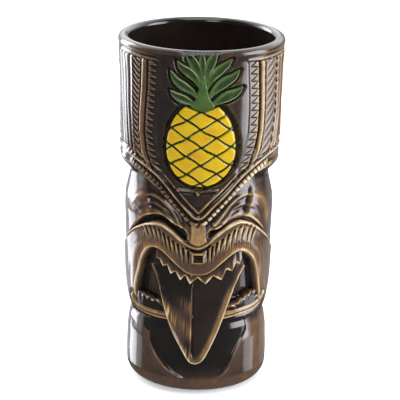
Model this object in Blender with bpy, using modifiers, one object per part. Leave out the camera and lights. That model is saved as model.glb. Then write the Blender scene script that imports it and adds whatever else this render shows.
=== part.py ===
"""Tiki mug: a hollow ceramic pot with a pineapple headdress over a carved face.

Metres, +Z up. The origin is the centre of the base plane, and the face looks along -Y.
The pot is turned. Each raised feature is a front outline, drawn in X and Z in millimetres,
that is pushed through a ring of the feature's inner and outer radius.
"""
import math

import bmesh
import bpy
from mathutils import Vector

MM = 0.001

# Driving dimensions, in millimetres
HEIGHT = 165.0
RIM_RADIUS = 38.4
WALL = 5.0
LIP_ROUND = 2.4
HEADDRESS_TOP_RADIUS = 37.2
HEADDRESS_BOTTOM_RADIUS = 36.4
HEADDRESS_BOTTOM = 112.0
PINCH_RADIUS = 31.6
PINCH_HEIGHT = 99.0
CHEEK_RADIUS = 34.3
CHEEK_HEIGHT = 76.0
WAIST_RADIUS = 31.2
WAIST_HEIGHT = 34.0
BASE_RADIUS = 33.0
FOOT_ROUND = 8.5
FOOT_RING_WIDTH = 3.6
FOOT_RECESS = 1.5
FLOOR_TOP = 7.0
BORE_RADIUS = 28.0

FACE_GROUND_RADIUS = 31.6
SPRIG_GROUND_RADIUS = 35.4
SHIELD_GROUND_RADIUS = 31.3
APRON_INNER_RADIUS = 31.0
APRON_RADIUS = 36.3
GAP = 0.3

# Outer radius of each raised feature, in millimetres
FRUIT_RADIUS = 37.9
CROWN_RADIUS = 37.6
BAND_RADIUS = 38.0
BROW_RADIUS = 34.4
CHEEK_PAD_RADIUS = 34.6
NOSE_RADIUS = 36.0
UPPER_LIP_RADIUS = 35.0
UPPER_TEETH_RADIUS = 34.0
TONGUE_RADIUS = 35.8
LOWER_TEETH_RADIUS = 33.5
LOWER_LIP_RADIUS = 34.0

# Widths of the raised bands, in millimetres
BAND_WIDTH = 5.4
UPPER_LIP_WIDTH = 2.8
LOWER_LIP_WIDTH = 3.6

STEPS = 72
ARC_POINTS = 5
CUTTER_HALF_DEPTH = 18.0
CUTTER_CENTRE = 27.0
CUTTER_MARGIN = 10.0
OUTSIDE_RADIUS = 45.0
MERGE = 0.00001

MODEL_NAME = "tiki_mug"


def clear_scene():
    for obj in list(bpy.data.objects):
        bpy.data.objects.remove(obj, do_unlink=True)


def new_collection(name):
    collection = bpy.data.collections.new(name)
    bpy.context.scene.collection.children.link(collection)
    return collection


def glaze(name, colour, roughness):
    material = bpy.data.materials.new(name)
    material.use_nodes = True
    shader = material.node_tree.nodes["Principled BSDF"]
    shader.inputs["Base Color"].default_value = (*colour, 1.0)
    shader.inputs["Roughness"].default_value = roughness
    shader.inputs["Metallic"].default_value = 0.0
    material.diffuse_color = (*colour, 1.0)
    return material


def arc(centre_x, centre_z, radius, start, end, count=ARC_POINTS):
    """Points of a circular arc in the profile plane, angles in degrees."""
    points = []
    for index in range(count + 1):
        angle = math.radians(start + (end - start) * index / count)
        points.append((centre_x + radius * math.cos(angle), centre_z + radius * math.sin(angle)))
    return points


def turned(name, profile, collection, closed=False):
    """Turns a profile of (radius, height) points around Z."""
    mesh = bpy.data.meshes.new(name)
    vertices = [(radius * MM, 0.0, height * MM) for radius, height in profile]
    edges = [(index, index + 1) for index in range(len(vertices) - 1)]
    if closed:
        edges.append((len(vertices) - 1, 0))
    mesh.from_pydata(vertices, edges, [])
    obj = bpy.data.objects.new(name, mesh)
    collection.objects.link(obj)
    screw = obj.modifiers.new("Turn", "SCREW")
    screw.axis = "Z"
    screw.steps = STEPS
    screw.render_steps = STEPS
    screw.use_merge_vertices = True
    screw.merge_threshold = MERGE
    weld = obj.modifiers.new("Weld", "WELD")
    weld.merge_threshold = MERGE
    return obj


def make_cutter(obj):
    obj.hide_render = True
    obj.display_type = "WIRE"
    return obj


def front_outline(name, points, collection, rounded):
    """A flat outline in X and Z, made a prism that runs from inside the pot out past its front."""
    curve = bpy.data.curves.new(name, "CURVE")
    curve.dimensions = "2D"
    curve.fill_mode = "BOTH"
    curve.extrude = CUTTER_HALF_DEPTH * MM
    curve.resolution_u = 3
    spline = curve.splines.new("BEZIER" if rounded else "POLY")
    spline.use_cyclic_u = True
    if rounded:
        spline.bezier_points.add(len(points) - 1)
        for knot, (x, z) in zip(spline.bezier_points, points):
            knot.co = (x * MM, z * MM, 0.0)
            knot.handle_left_type = "AUTO"
            knot.handle_right_type = "AUTO"
    else:
        spline.points.add(len(points) - 1)
        for knot, (x, z) in zip(spline.points, points):
            knot.co = (x * MM, z * MM, 0.0, 1.0)
    flat = bpy.data.objects.new(name + "_curve", curve)
    collection.objects.link(flat)
    flat.rotation_euler = (math.radians(90.0), 0.0, 0.0)
    flat.location = (0.0, -CUTTER_CENTRE * MM, 0.0)
    bpy.context.view_layer.update()
    evaluated = flat.evaluated_get(bpy.context.evaluated_depsgraph_get())
    mesh = bpy.data.meshes.new_from_object(evaluated)
    mesh.name = name
    solid = bmesh.new()
    solid.from_mesh(mesh)
    bmesh.ops.remove_doubles(solid, verts=solid.verts, dist=MERGE)
    bmesh.ops.recalc_face_normals(solid, faces=solid.faces)
    solid.to_mesh(mesh)
    solid.free()
    prism = bpy.data.objects.new(name, mesh)
    prism.matrix_world = flat.matrix_world.copy()
    collection.objects.link(prism)
    bpy.data.objects.remove(flat, do_unlink=True)
    return prism


def add_boolean(obj, operation, other):
    modifier = obj.modifiers.new(other.name, "BOOLEAN")
    modifier.operation = operation
    modifier.solver = "EXACT"
    modifier.object = other


def ring(name, inner, outer, collection):
    """A tall tube that gives a feature its inner and outer radius."""
    top = HEIGHT + CUTTER_MARGIN
    bottom = -CUTTER_MARGIN
    profile = [(outer, top), (outer, bottom), (inner, bottom), (inner, top)]
    return make_cutter(turned(name, profile, collection, closed=True))


def relief(name, points, inner, outer, parts, cutters, rounded=True):
    """A feature that follows the pot's curve between two radii."""
    piece = front_outline(name, points, parts, rounded)
    add_boolean(piece, "INTERSECT", ring(name + "_ring", inner, outer, cutters))
    return piece


def shape_finish(obj, material):
    obj.data.materials.clear()
    obj.data.materials.append(material)
    obj.data.shade_smooth()
    obj.data.set_sharp_from_angle(angle=math.radians(35.0))


def mirrored(points):
    """The right half of an outline, from the middle out, turned into the left half."""
    return [(-x, z) for x, z in points]


def both_halves(half):
    """A symmetric outline from its right half, listed from its first middle point to its last."""
    left = [(-x, z) for x, z in reversed(half) if abs(x) > 0.01]
    return half + left


def ribbon(centre, width):
    """The outline of a band of constant width along a centre line."""
    upper = []
    lower = []
    for index, (x, z) in enumerate(centre):
        before = Vector(centre[max(index - 1, 0)])
        after = Vector(centre[min(index + 1, len(centre) - 1)])
        along = (after - before).normalized()
        side = Vector((-along.y, along.x)) * width / 2.0
        upper.append((x + side.x, z + side.y))
        lower.append((x - side.x, z - side.y))
    return upper + lower[::-1]


# The pot

def pot_profile():
    """From the middle of the floor up the bore, over the lip, down the outside and under the foot."""
    inside = [(0.0, FLOOR_TOP)]
    inside += arc(BORE_RADIUS - 8.0, FLOOR_TOP + 7.0, 7.0, -90.0, 0.0)
    inside += [
        (BORE_RADIUS - 0.6, 26.0),
        (BORE_RADIUS - 0.9, WAIST_HEIGHT),
        (BORE_RADIUS, 46.0),
        (BORE_RADIUS, 90.0),
        (BORE_RADIUS, PINCH_HEIGHT),
        (BORE_RADIUS + 0.7, 104.0),
        (HEADDRESS_BOTTOM_RADIUS - WALL - 1.2, 109.0),
        (HEADDRESS_BOTTOM_RADIUS - WALL + 0.6, 115.0),
        (RIM_RADIUS - WALL - 0.4, 150.0),
    ]
    lip_low = HEIGHT - LIP_ROUND
    lip = arc(RIM_RADIUS - WALL + LIP_ROUND, lip_low, LIP_ROUND, 180.0, 90.0)
    lip += arc(RIM_RADIUS - LIP_ROUND, lip_low, LIP_ROUND, 90.0, 0.0)
    outside = [
        (RIM_RADIUS, HEIGHT - 3.4),
        (HEADDRESS_TOP_RADIUS, HEIGHT - 4.4),
        (HEADDRESS_BOTTOM_RADIUS, HEADDRESS_BOTTOM),
        (HEADDRESS_BOTTOM_RADIUS - 0.5, 108.6),
        (HEADDRESS_BOTTOM_RADIUS - 2.0, 105.2),
        (PINCH_RADIUS + 0.7, 102.0),
        (PINCH_RADIUS, PINCH_HEIGHT),
        (PINCH_RADIUS + 1.3, 93.0),
        (CHEEK_RADIUS - 0.4, 85.0),
        (CHEEK_RADIUS, CHEEK_HEIGHT),
        (CHEEK_RADIUS - 0.6, 65.0),
        (CHEEK_RADIUS - 1.0, 54.0),
        (CHEEK_RADIUS - 1.4, 44.0),
        (WAIST_RADIUS + 0.7, 37.0),
        (WAIST_RADIUS, WAIST_HEIGHT),
        (WAIST_RADIUS + 0.8, 31.0),
        (BASE_RADIUS - 0.3, 25.0),
        (BASE_RADIUS, 14.0),
    ]
    foot = arc(BASE_RADIUS - FOOT_ROUND, FOOT_ROUND, FOOT_ROUND, 0.0, -90.0)
    ring_inner = BASE_RADIUS - FOOT_ROUND - FOOT_RING_WIDTH
    under = [(ring_inner, 0.0), (ring_inner - 1.0, FOOT_RECESS), (0.0, FOOT_RECESS)]
    return inside + lip + outside + foot + under


HEADDRESS_POINT = [
    (0.0, 84.5), (5.6, 88.0), (10.5, 93.0), (16.8, 100.0), (23.0, 105.5), (30.0, 110.0),
]
FACE_WINDOW = [
    (0.0, 33.0), (22.0, 33.4), (30.4, 36.6), (32.0, 46.0),
    (32.0, 60.0), (31.6, 84.0), (28.0, 95.0), (0.0, 98.0),
]
SHIELD = [
    (0.0, 6.8), (6.0, 7.4), (11.5, 10.2), (17.0, 15.0),
    (20.0, 20.0), (21.8, 26.0), (23.0, 32.0), (0.0, 35.0),
]
SPRIG_X = 1.0
SPRIG_RECESS = [
    (0.0, 99.2), (8.5, 102.5), (14.5, 110.0), (17.0, 120.0), (15.5, 131.0), (12.0, 138.0),
    (19.5, 144.5), (19.5, 157.0), (15.0, 161.0), (0.0, 162.4),
]


def build_pot(parts, cutters):
    """The cast pot, with the headdress point over the forehead and recesses for the relief."""
    pot = turned("mug_body", pot_profile(), parts)
    window = relief("face_window", both_halves(FACE_WINDOW), FACE_GROUND_RADIUS, OUTSIDE_RADIUS,
                    cutters, cutters)
    add_boolean(pot, "DIFFERENCE", make_cutter(window))
    apron_outline = both_halves(HEADDRESS_POINT + [(0.0, 111.0)])
    apron = relief("headdress_point", apron_outline, APRON_INNER_RADIUS, APRON_RADIUS,
                   cutters, cutters, rounded=False)
    add_boolean(pot, "UNION", make_cutter(apron))
    recess_outline = [(SPRIG_X + x, z) for x, z in both_halves(SPRIG_RECESS)]
    recess = relief("sprig_recess", recess_outline, SPRIG_GROUND_RADIUS, OUTSIDE_RADIUS,
                    cutters, cutters)
    add_boolean(pot, "DIFFERENCE", make_cutter(recess))
    shield = relief("tongue_recess", both_halves(SHIELD), SHIELD_GROUND_RADIUS, OUTSIDE_RADIUS,
                    cutters, cutters)
    add_boolean(pot, "DIFFERENCE", make_cutter(shield))
    return pot


# The headdress

FRUIT_CENTRE = 119.6
FRUIT_HALF_WIDTH = 15.2
FRUIT_HALF_HEIGHT = 19.0
FRUIT_TAPER = 0.1
FRUIT_POINTS = 14
CROWN_LEFT = [
    (-5.0, 142.0), (-13.6, 146.6), (-7.0, 147.6), (-14.2, 155.2), (-8.0, 154.4), (-11.2, 159.4),
    (-6.0, 157.6), (-6.8, 161.6), (-3.2, 158.6),
]
CROWN_RIGHT = [
    (3.4, 158.4), (8.0, 161.6), (7.6, 157.0), (13.4, 159.6), (10.0, 153.8), (17.6, 155.2),
    (9.0, 147.8), (18.6, 147.0), (8.0, 142.2),
]


def fruit_outline():
    points = []
    for index in range(FRUIT_POINTS):
        angle = 2.0 * math.pi * index / FRUIT_POINTS
        half_width = FRUIT_HALF_WIDTH * (1.0 - FRUIT_TAPER * math.sin(angle))
        points.append((SPRIG_X + half_width * math.cos(angle),
                       FRUIT_CENTRE + FRUIT_HALF_HEIGHT * math.sin(angle)))
    return points


def build_sprig(parts, cutters):
    """The pineapple: its fruit, and its crown of leaves as one fan."""
    inner = SPRIG_GROUND_RADIUS + GAP
    fruit = relief("pineapple_fruit", fruit_outline(), inner, FRUIT_RADIUS, parts, cutters)
    crown = [(SPRIG_X, 139.4)] + CROWN_LEFT + [(0.0, 162.0)] + CROWN_RIGHT
    leaves = relief("pineapple_leaves", crown, inner, CROWN_RADIUS, parts, cutters, rounded=False)
    return fruit, leaves


BAND_CENTRE = [
    (0.0, 88.6), (5.0, 91.6), (10.5, 97.0), (16.8, 103.4), (23.0, 108.8), (29.0, 112.6), (33.5, 115.4),
]


def build_band(parts, cutters):
    """The V-shaped band along the headdress point. It starts below the pineapple's recess."""
    centre = mirrored(BAND_CENTRE)[::-1] + BAND_CENTRE[1:]
    inner = HEADDRESS_BOTTOM_RADIUS + GAP
    return relief("headdress_band", ribbon(centre, BAND_WIDTH), inner, BAND_RADIUS, parts, cutters)


# The face, right side listed first

BROW = [
    (8.4, 83.6), (11.5, 87.0), (16.0, 90.6), (20.8, 93.0), (25.6, 92.8), (28.6, 90.0),
    (27.4, 86.6), (22.6, 88.2), (18.0, 86.8), (14.0, 83.6), (10.8, 80.8),
]
CHEEK = [
    (29.8, 71.0), (28.9, 76.2), (25.0, 80.0), (20.5, 82.4), (16.0, 81.4), (12.0, 78.6), (8.2, 75.6),
    (7.4, 71.6), (9.4, 68.4), (13.2, 71.6), (17.2, 74.4), (21.2, 74.9), (25.2, 72.6), (28.0, 68.0),
]
NOSE = [(0.0, 72.6), (3.4, 73.4), (5.6, 75.0), (4.4, 77.6), (4.0, 83.0), (0.0, 84.0)]
LIP_CENTRE = [
    (0.0, 59.8), (5.0, 60.8), (8.6, 63.0), (13.0, 67.2), (17.0, 70.2), (20.5, 70.8),
    (23.6, 68.6), (26.4, 64.0), (28.0, 57.8), (29.0, 51.0),
]
TOOTH_TIPS = [(3.4, 54.4), (7.8, 56.2), (12.6, 59.0), (17.2, 62.4)]
TOOTH_VALLEYS = [(0.0, 56.2), (5.6, 57.2), (10.2, 59.4), (14.9, 63.0)]
TOOTH_ROOTS = [(18.8, 66.8), (13.9, 65.2), (9.6, 60.9), (5.4, 58.9), (0.0, 58.0)]
TONGUE_RIGHT = [
    (0.0, 52.6), (7.4, 54.4), (12.4, 57.0), (16.6, 59.8), (21.0, 59.4), (19.0, 54.6), (16.6, 48.4),
    (12.8, 38.4), (9.4, 30.2), (6.6, 23.2), (3.6, 17.8), (0.0, 15.2),
]
LOWER_TEETH = [
    (18.6, 42.4), (27.4, 43.0), (26.8, 46.0), (25.4, 48.0), (24.2, 45.6), (22.8, 47.4),
    (21.6, 45.2), (20.2, 47.0), (19.0, 44.6),
]
LOWER_LIP_CENTRE = [(29.6, 41.2), (26.4, 38.8), (22.0, 38.0), (17.6, 38.4)]


def build_face(parts, cutters):
    """Brows, cheeks, nose, mouth and tongue, all standing on the face's recessed ground."""
    ground = FACE_GROUND_RADIUS + GAP
    pieces = []
    for side, place in (("right", list), ("left", mirrored)):
        pieces.append(relief("brow_" + side, place(BROW), ground, BROW_RADIUS, parts, cutters))
        pieces.append(relief("cheek_" + side, place(CHEEK), ground, CHEEK_PAD_RADIUS, parts, cutters))
        pieces.append(relief("lower_teeth_" + side, place(LOWER_TEETH), ground, LOWER_TEETH_RADIUS,
                             parts, cutters, rounded=False))
        lower_lip = ribbon(LOWER_LIP_CENTRE, LOWER_LIP_WIDTH)
        pieces.append(relief("lower_lip_" + side, place(lower_lip), ground + GAP, LOWER_LIP_RADIUS,
                             parts, cutters))
    pieces.append(relief("nose", both_halves(NOSE), ground, NOSE_RADIUS, parts, cutters))
    lip_centre = mirrored(LIP_CENTRE)[::-1] + LIP_CENTRE[1:]
    upper_lip = ribbon(lip_centre, UPPER_LIP_WIDTH)
    pieces.append(relief("upper_lip", upper_lip, ground, UPPER_LIP_RADIUS, parts, cutters))
    zigzag = [point for pair in zip(TOOTH_VALLEYS, TOOTH_TIPS) for point in pair]
    teeth = both_halves(zigzag + TOOTH_ROOTS)
    pieces.append(relief("upper_teeth", teeth, ground, UPPER_TEETH_RADIUS, parts, cutters, rounded=False))
    pieces.append(relief("tongue", both_halves(TONGUE_RIGHT), ground, TONGUE_RADIUS, parts, cutters))
    return pieces


def main():
    clear_scene()
    parts = new_collection(MODEL_NAME)
    cutters = new_collection(MODEL_NAME + "_cutters")
    brown = glaze("brown_glaze", (0.075, 0.045, 0.028), 0.18)
    yellow = glaze("yellow_glaze", (0.72, 0.50, 0.03), 0.22)
    green = glaze("green_glaze", (0.07, 0.13, 0.05), 0.22)
    shape_finish(build_pot(parts, cutters), brown)
    fruit, leaves = build_sprig(parts, cutters)
    shape_finish(fruit, yellow)
    shape_finish(leaves, green)
    shape_finish(build_band(parts, cutters), brown)
    for piece in build_face(parts, cutters):
        shape_finish(piece, brown)


main()
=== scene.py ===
"""Looks for the tiki mug: glazed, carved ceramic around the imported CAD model.

The outside is one relief, a radius for each angle and height, that is cut into the pieces below.
Angles are in degrees from the front (-Y), positive to the viewer's right. Lengths are in millimetres
until a mesh is made.
"""
import math

import bmesh
import bpy
import numpy as np
from mathutils import Matrix, Vector


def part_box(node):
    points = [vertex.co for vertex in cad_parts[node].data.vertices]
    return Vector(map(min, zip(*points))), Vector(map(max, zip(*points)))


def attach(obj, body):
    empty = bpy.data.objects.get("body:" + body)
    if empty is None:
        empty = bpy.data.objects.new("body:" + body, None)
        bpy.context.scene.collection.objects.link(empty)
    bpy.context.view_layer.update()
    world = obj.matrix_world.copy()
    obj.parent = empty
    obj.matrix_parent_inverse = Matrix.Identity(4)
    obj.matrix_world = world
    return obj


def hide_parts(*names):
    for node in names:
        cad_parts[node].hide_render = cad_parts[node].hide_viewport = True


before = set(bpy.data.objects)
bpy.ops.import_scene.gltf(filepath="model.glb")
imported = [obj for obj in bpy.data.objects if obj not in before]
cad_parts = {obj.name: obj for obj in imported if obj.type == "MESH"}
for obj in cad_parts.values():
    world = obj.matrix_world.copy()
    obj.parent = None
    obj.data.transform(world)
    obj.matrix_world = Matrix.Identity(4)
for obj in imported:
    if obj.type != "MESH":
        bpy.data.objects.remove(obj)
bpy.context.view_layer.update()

MM = 0.001
scene = bpy.context.scene

# -------- sizes from the frame

pot_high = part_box("mug_body")[1]
HEIGHT = pot_high.z / MM
RIM_RADIUS = pot_high.x / MM
LIP_ROUND = 2.4
LIP_LOW = HEIGHT - LIP_ROUND
LIP_MIDDLE = RIM_RADIUS - LIP_ROUND
FOOT_ROUND = 8.5
BASE_RADIUS = 33
CUP_TOP_RADIUS = 33.4
CUP_FLOOR = 7

# -------- the relief's grid

COLUMN_STEP = 0.45
ROW_STEP = 0.3
ARC = 0.63  # mm round the pot in one degree
FAR = 99.0

theta = np.arange(-180, 180, COLUMN_STEP)
row_count = int(round((LIP_LOW - FOOT_ROUND) / ROW_STEP)) + 1
height = np.linspace(LIP_LOW, FOOT_ROUND, row_count)
T, Z = np.meshgrid(theta, height)
ASIDE = np.abs(T)
SHAPE = T.shape
WALL_GRID = (T, Z)


def smooth_path(points, closed=False, pieces=5):
    """A Catmull-Rom curve through the points."""
    knots = np.array(points, float)
    if closed:
        knots = np.vstack([knots[-1:], knots, knots[:2]])
    else:
        knots = np.vstack([2 * knots[0] - knots[1], knots, 2 * knots[-1] - knots[-2]])
    t = np.linspace(0, 1, pieces, endpoint=False)[:, None]
    curve = []
    for a, b, c, d in zip(knots[:-3], knots[1:-2], knots[2:-1], knots[3:]):
        curve.append(0.5 * (2 * b + (c - a) * t + (2 * a - 5 * b + 4 * c - d) * t ** 2
                            + (3 * b - a - 3 * c + d) * t ** 3))
    if not closed:
        curve.append(knots[-2:-1])
    return np.vstack(curve)


def near_path(path, margin, grid):
    """The part of a grid that lies near a path."""
    angle, level = grid
    reach = margin / ARC
    return ((angle > path[:, 0].min() - reach) & (angle < path[:, 0].max() + reach)
            & (level > path[:, 1].min() - margin) & (level < path[:, 1].max() + margin))


def path_distance(path, margin=6, grid=WALL_GRID):
    """Distance to a path in mm, positive on its left, and the length along it to the nearest point."""
    distance = np.full(grid[0].shape, FAR)
    along = np.zeros(grid[0].shape)
    cells = near_path(path, margin, grid)
    u = grid[0][cells] * ARC
    z = grid[1][cells]
    best = np.full(u.shape, FAR ** 2)
    side = np.ones(u.shape)
    place = np.zeros(u.shape)
    travelled = 0
    for (a_deg, a_z), (b_deg, b_z) in zip(path[:-1], path[1:]):
        du = (b_deg - a_deg) * ARC
        dz = b_z - a_z
        length = math.hypot(du, dz) + 1e-9
        pu = u - a_deg * ARC
        pz = z - a_z
        t = np.clip((pu * du + pz * dz) / length ** 2, 0, 1)
        gap = (pu - t * du) ** 2 + (pz - t * dz) ** 2
        closer = gap < best
        best = np.where(closer, gap, best)
        side = np.where(closer, np.sign(du * pz - dz * pu), side)
        place = np.where(closer, travelled + t * length, place)
        travelled += length
    distance[cells] = np.sqrt(best) * np.where(side == 0, 1, side)
    along[cells] = place
    return distance, along


def inside_distance(outline, margin=6, grid=WALL_GRID):
    """Distance to a closed outline in mm, positive inside it."""
    closed = np.vstack([outline, outline[:1]])
    result = -np.abs(path_distance(closed, margin, grid)[0])
    cells = near_path(closed, margin, grid)
    u = grid[0][cells]
    z = grid[1][cells]
    inside = np.zeros(u.shape, bool)
    for (a_u, a_z), (b_u, b_z) in zip(closed[:-1], closed[1:]):
        if a_z != b_z:
            crosses = (a_z > z) != (b_z > z)
            inside ^= crosses & (u < (b_u - a_u) * (z - a_z) / (b_z - a_z) + a_u)
    result[cells] = np.where(inside, -result[cells], result[cells])
    return result


def ridge(distance, amount, width):
    """A rounded ridge along distance 0; a negative amount is a groove."""
    return amount * np.exp(-(distance / width) ** 2)


def rise(value, width):
    """0 to 1 across a step of the given width, centred on value 0."""
    t = np.clip(value / width + 0.5, 0, 1)
    return t * t * (3 - 2 * t)


def blurred(field, sigma_mm):
    """Gaussian blur over the wall, wrapped round the pot."""
    def kernel(sigma):
        reach = int(math.ceil(3 * sigma))
        x = np.arange(-reach, reach + 1)
        weight = np.exp(-0.5 * (x / sigma) ** 2)
        return weight / weight.sum(), reach
    weight, reach = kernel(sigma_mm / (COLUMN_STEP * ARC))
    result = sum(w * np.roll(field, k - reach, axis=1) for k, w in enumerate(weight))
    weight, reach = kernel(sigma_mm / ROW_STEP)
    padded = np.pad(result, ((reach, reach), (0, 0)), mode="edge")
    return sum(w * padded[k:k + field.shape[0]] for k, w in enumerate(weight))


def column_line(points):
    """Signed distance in mm to a nearly upright line, given as (angle, height) from top to bottom."""
    line = np.array(points, float)[::-1]
    return (T - np.interp(Z, line[:, 1], line[:, 0])) * ARC


# -------- outlines, in (degrees, mm)

V_EDGE = [(-180, 108.2), (-90, 108.2), (-75, 108.4), (-59.5, 108.2), (-46.4, 105.6), (-36, 102),
          (-26.6, 98), (-18, 92.6), (-11, 87.9), (-5.6, 84.8), (0, 83.8), (5.6, 84.9), (12.4, 89.2),
          (19.8, 94.2), (28, 99.2), (37, 103.8), (46.6, 106.6), (59, 108.6), (75, 108.6), (90, 108.2),
          (180, 108.2)]
V_RIDGE = [(-181, 115), (-140, 115), (-100, 114.8), (-76, 113.9), (-60.5, 112.6), (-50, 111.2),
           (-37, 108), (-26.8, 103.7), (-16.4, 96.6), (-8.7, 91.2), (-3.7, 88.1), (0.1, 87.2),
           (4, 88.4), (10.9, 93.1), (19.7, 98.4), (29.5, 104.6), (40.1, 109.4), (53.6, 112.8),
           (68.4, 114.3), (100, 115), (140, 115), (181, 115)]
MOULDING = [(-14.7, 100.5), (-6, 100.2), (-2.2, 99.8), (-0.6, 98.6), (1.2, 99.8), (5, 100.2),
            (13.4, 100.7)]

DENTIL_STEP = 2.62
SHIELD_RADIUS = 31.4
# Lines of a back panel: place in mm from its start, height and half width
BACK_LINES = [(0, -0.9, 0.6), (1.9, 0.55, 0.8), (3.8, -0.7, 0.5), (12.2, 0.5, 0.6), (14, -0.9, 0.6),
              (16, 0.45, 0.7)]
# Each line of a panel: its course, its height (a groove's is negative) and its half width
LEFT_LINES = [
    ([(-39.6, 158.5), (-40.6, 146), (-42.6, 134), (-43.4, 125), (-41.4, 116.5), (-36, 109.5)], -1.2, 0.62),
    ([(-42.8, 158.5), (-44.2, 146), (-46, 134), (-46.6, 125), (-44.4, 116), (-38.6, 109)], 0.55, 0.85),
    ([(-46, 158.5), (-47.2, 146), (-48.9, 134), (-49.4, 125), (-47.4, 116.5), (-42, 110.5)], -0.8, 0.5),
    ([(-55.8, 158.5), (-56.3, 134), (-55.6, 124), (-53.2, 113)], 0.5, 0.6),
    ([(-59, 158.5), (-59.2, 134), (-58, 124), (-55.8, 113)], -1.1, 0.65),
    ([(-62.6, 158.5), (-61.8, 134), (-60.2, 124), (-58, 113)], 0.5, 0.7),
    ([(-66.4, 158.5), (-64.2, 134), (-62.6, 124), (-60.2, 113)], -0.9, 0.5),
    ([(-70.5, 158.5), (-67.5, 134), (-65.4, 124), (-62.4, 113)], 0.4, 0.7),
    ([(-76.5, 158.5), (-72, 134), (-69, 124), (-65, 113)], -0.8, 0.6),
]
RIGHT_LINES = [
    ([(44.2, 158.5), (46, 146), (46.6, 136), (46.2, 126), (43.2, 118), (37.6, 110)], -1.3, 0.62),
    ([(47, 159), (48.6, 147), (49.4, 136), (49, 126), (45.9, 117.4), (40.2, 110)], 0.65, 0.8),
    ([(50.2, 159), (51.6, 147), (52.2, 136), (51.8, 126), (48.8, 117.4), (43.6, 112)], -0.6, 0.45),
    ([(65.6, 159), (67.2, 146), (67.6, 133), (64.8, 122), (60, 113)], 0.5, 0.6),
    ([(68.8, 159), (70.4, 146), (70.8, 133), (67.6, 122), (62.4, 113)], -0.7, 0.45),
    ([(72, 159), (73.6, 146), (73.8, 133), (70.4, 122), (64.8, 113)], 0.45, 0.6),
    ([(76, 159), (77.4, 146), (77, 133), (73.4, 122), (67.4, 113)], -0.8, 0.5),
    ([(79.6, 159), (81, 146), (80.6, 133), (77, 122), (70.6, 113)], 0.45, 0.7),
]

BROW_OUTER = {
    "left": [(-13.8, 82.5), (-18.6, 86.9), (-26.9, 91), (-35.4, 93.9), (-45.1, 94.4), (-54.4, 92.6),
             (-63, 88)],
    "right": [(13.2, 83.5), (21, 88), (28.2, 92), (36.6, 94.6), (48, 95.2), (57.2, 93),
              (63, 88.6), (67, 82)],
}
BROW_MIDDLE = {
    "left": [(-20.5, 84.6), (-27, 88), (-33.6, 90.4), (-42.3, 91.2), (-50.5, 89.4), (-56, 86)],
    "right": [(20, 84.6), (26, 88.2), (33, 90.6), (41, 91.2), (49.8, 89), (55, 85)],
}
BROW_INNER = {
    "left": [(-17, 82.6), (-24, 85.4), (-31, 87.4), (-39.6, 88), (-47, 86.4), (-53, 83.6)],
    "right": [(14.5, 81.8), (19.5, 84), (26.3, 86.6), (34.8, 87.6), (44, 86.2), (50.4, 83)],
}
EYE = {
    "left": [(-69, 72.6), (-60, 78), (-50, 83.2), (-40.3, 85.8), (-30.5, 86.2), (-19.2, 83.4),
             (-9.6, 80.6), (-8.2, 76.4), (-14, 77.6), (-21, 81), (-29.1, 83.3), (-39.3, 82.7),
             (-52, 79.2), (-61, 75.8)],
    "right": [(61, 76.4), (53, 81), (44, 84.8), (34.8, 86.2), (26.3, 85.2), (17.4, 82), (9.4, 80.6),
              (8.4, 77.6), (13.6, 79.8), (22.9, 83.3), (31.3, 84.9), (38.3, 84.3), (48, 81.4)],
}
LID_LINE = [(-73, 71.3), (-64.5, 75.4), (-56.9, 80), (-48.9, 84), (-41.2, 85.7), (-33.5, 85.6)]
CREASE = [(-72, 89), (-63, 88.4), (-56, 86.8), (-50, 85.2)]
CHEEK_LINE = [(-110, 59), (-92, 62.6), (-76, 68.4), (-66, 73.6), (-56.1, 77.5), (-39.3, 81.7),
              (-29.1, 82.3), (-21, 80.1), (-13.5, 76.6), (-7.4, 74.1), (0, 72.9), (7.4, 74.9),
              (13.2, 78.2), (22.9, 82.2), (31.3, 83.9), (38.3, 83.3), (47.3, 80.7), (57.1, 76.5),
              (66, 72.6), (76, 67.8), (92, 62.2), (110, 59)]
SLITS = {
    "left": [(-6.9, 71), (-10.4, 72.2), (-14, 73.8), (-17.4, 75.2), (-20.8, 76.8), (-24.2, 78.2),
             (-28, 79.6), (-31.6, 80.2), (-35.2, 80.4), (-39.4, 80), (-43, 79.2)],
    "right": [(7.4, 71.6), (10.4, 73.2), (13.4, 74.9), (17, 76.4), (21.4, 78.4), (25.8, 80),
              (30.2, 81.4), (34.8, 81.8), (39.4, 81.2), (43.4, 80)],
}
LIP_LINE = [(-58.6, 43.4), (-57.8, 47.4), (-55.4, 52.6), (-51.7, 58.5), (-47.8, 64.4), (-41.9, 69.4),
            (-36, 71.3), (-29.6, 70.8), (-22.6, 68), (-13.8, 63.2), (-7.6, 60.6), (-0.2, 59.8),
            (7.3, 60.4), (13.8, 63), (20.6, 66.4), (28.1, 69.4), (34.8, 70.2), (41.9, 68.2),
            (48.4, 64.2), (52.6, 58.6), (55.9, 51.6), (57.6, 46.6), (58.2, 43.8)]
MOUTH_FLOOR = [(56.6, 45), (50, 44.4), (40, 43.8), (28, 43), (0, 41), (-28, 40.4),
               (-41, 40.2), (-52, 40.8), (-56.6, 41.6)]
LOWER_LIP = [(-64, 41.6), (-58, 39), (-50, 38.2), (-40, 37.9), (-24, 38), (0, 38.4),
             (24, 39), (36, 39.7), (46, 40.1), (54, 40.7), (60, 42.2), (64, 44.6)]
NOSE_GAP = [(-11, 73.6), (-6.5, 72), (0, 71.2), (6.5, 72.4), (11, 74.6)]
SHIELD = [(-49.4, 33.6), (-49.2, 29.4), (-43.2, 27.7), (-41.1, 23.5), (-35.3, 18.5), (-28.7, 14.3),
          (-20.4, 10.6), (-10.2, 8), (0, 7), (12, 7.4), (24.4, 10.6), (31.8, 18.1), (35.9, 21.6),
          (41, 25.9), (46.5, 30.1), (45, 35.6), (30, 36.6), (0, 36.4), (-30, 35)]


# -------- the relief

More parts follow.
